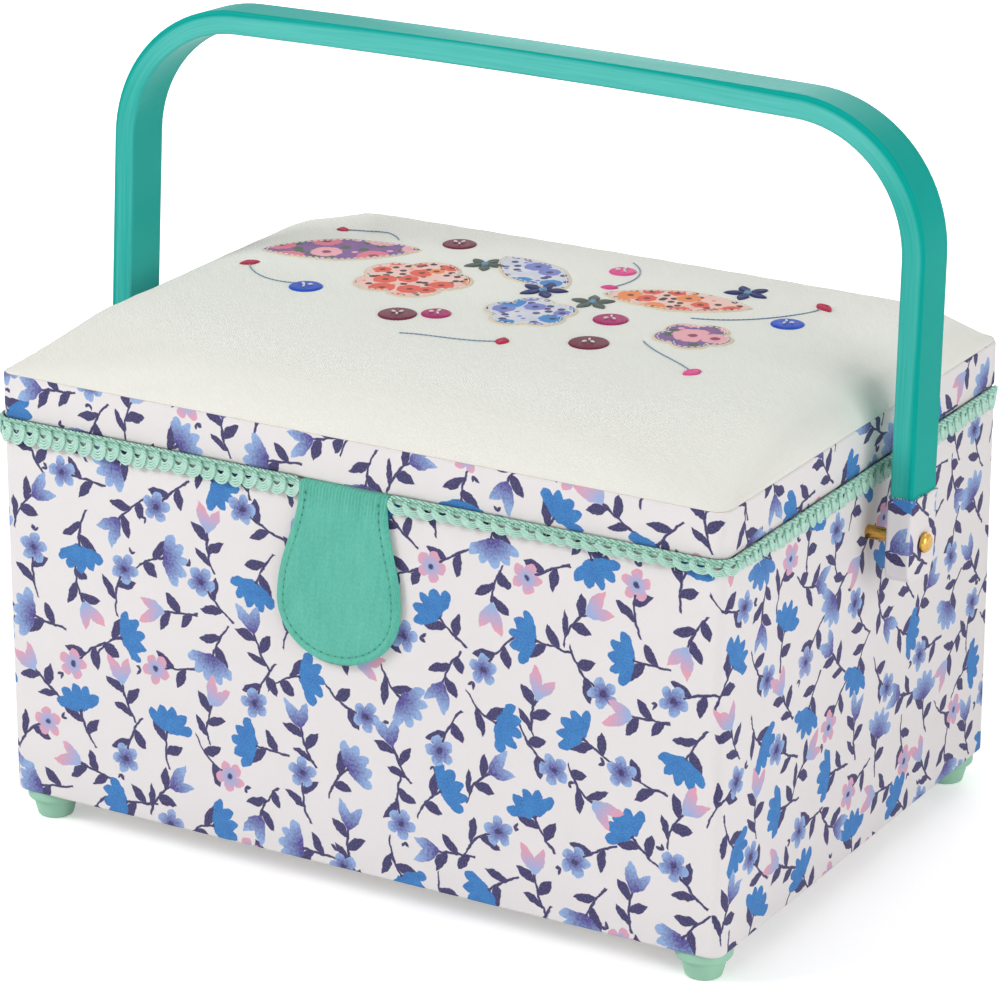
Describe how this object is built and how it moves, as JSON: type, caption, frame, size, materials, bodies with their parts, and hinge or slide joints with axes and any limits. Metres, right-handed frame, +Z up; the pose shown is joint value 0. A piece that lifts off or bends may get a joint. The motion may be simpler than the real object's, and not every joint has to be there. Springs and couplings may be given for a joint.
{
  "type": "sewing box",
  "caption": "Cloth-covered rectangular sewing box with a padded hinged lid, braided edge, front tab, swinging arched handle and lift-out tray.",
  "frame": {"origin": "on the table plane under the middle of the box, where the four feet stand", "axes": "+X to the right seen from the front, -Y towards the front where the tab hangs, +Z up"},
  "size_m": [0.3724, 0.2445, 0.313],
  "materials": {
    "board": "plain pressed board, hidden",
    "printed_cotton": "fine cotton, small floral print in blue, violet and pink on off-white",
    "ivory_twill": "fine plain-coloured cotton twill",
    "lining_cloth": "satin lining, lightly quilted",
    "padding_foam": "soft foam, hidden",
    "pincushion_cloth": "satin over stuffing",
    "backing_paper": "matt backing paper",
    "foot_plastic": "satin moulded plastic",
    "steel": "zinc-plated steel",
    "brass": "bright brass",
    "mint_braid": "looped braid",
    "mint_twill": "fine cotton twill with a stitched edge",
    "stiffener_board": "stiff card, hidden",
    "handle_plastic": "moulded plastic, satin gloss",
    "tray_plastic": "white moulded plastic"
  },
  "bodies": {
    "box": {"back_panel": "board", "base_panel": "board", "bottom_sheet": "backing_paper", "floor_lining": "lining_cloth", "foot_back_left": "foot_plastic", "foot_back_right": "foot_plastic", "foot_front_left": "foot_plastic", "foot_front_right": "foot_plastic", "foot_screws": "steel", "front_panel": "board", "hinge_left_pin": "brass", "hinge_left_wall_leaf": "brass", "hinge_right_pin": "brass", "hinge_right_wall_leaf": "brass", "hinge_wall_screws": "brass", "latch_keeper": "steel", "left_panel": "board", "outer_cover": "printed_cotton", "pivot_nut_left": "steel", "pivot_nut_right": "steel", "pivot_screw_left": "brass", "pivot_screw_right": "brass", "pivot_spacer_left": "brass", "pivot_spacer_right": "brass", "right_panel": "board", "tray_ledge_left": "lining_cloth", "tray_ledge_right": "lining_cloth", "wall_lining": "lining_cloth"},
    "lid": {"lid_board": "board", "lid_rim_front": "board", "lid_rim_back": "board", "lid_rim_left": "board", "lid_rim_right": "board", "lid_band_cover": "printed_cotton", "lid_padding": "padding_foam", "lid_top_cloth": "ivory_twill", "lid_lining": "lining_cloth", "lid_pocket": "lining_cloth", "pincushion": "pincushion_cloth", "tab_root": "mint_twill", "hinge_lid_screws": "brass", "hinge_left_lid_leaf": "brass", "hinge_right_lid_leaf": "brass", "braid_front_left": "mint_braid", "braid_front_right": "mint_braid", "braid_side_left": "mint_braid", "braid_side_right": "mint_braid"},
    "tab": {"tab_cover": "mint_twill", "tab_backing": "mint_twill", "tab_stiffener": "stiffener_board", "tab_magnet": "steel"},
    "handle": {"handle_bail": "handle_plastic", "handle_sleeve_left": "printed_cotton", "handle_sleeve_right": "printed_cotton"},
    "tray": {"tray_shell": "tray_plastic"}
  },
  "joints": [
    {"name": "lid_hinge", "type": "hinge", "parent": "box", "child": "lid", "pos_m": [0, 0.12085, 0.1699], "axis": [-1, 0, 0], "range_deg": [0, 34]},
    {"name": "handle_swing", "type": "hinge", "parent": "box", "child": "handle", "pos_m": [0, 0, 0.1447], "axis": [1, 0, 0], "range_deg": [-116, 122]},
    {"name": "tab_flip", "type": "hinge", "parent": "lid", "child": "tab", "pos_m": [0, -0.11975, 0.1691], "axis": [-1, 0, 0], "range_deg": [0, 110]},
    {"name": "tray_lift", "type": "slide", "parent": "box", "child": "tray", "axis": [0, 0, 1], "range_m": [0, 0.012]}
  ]
}
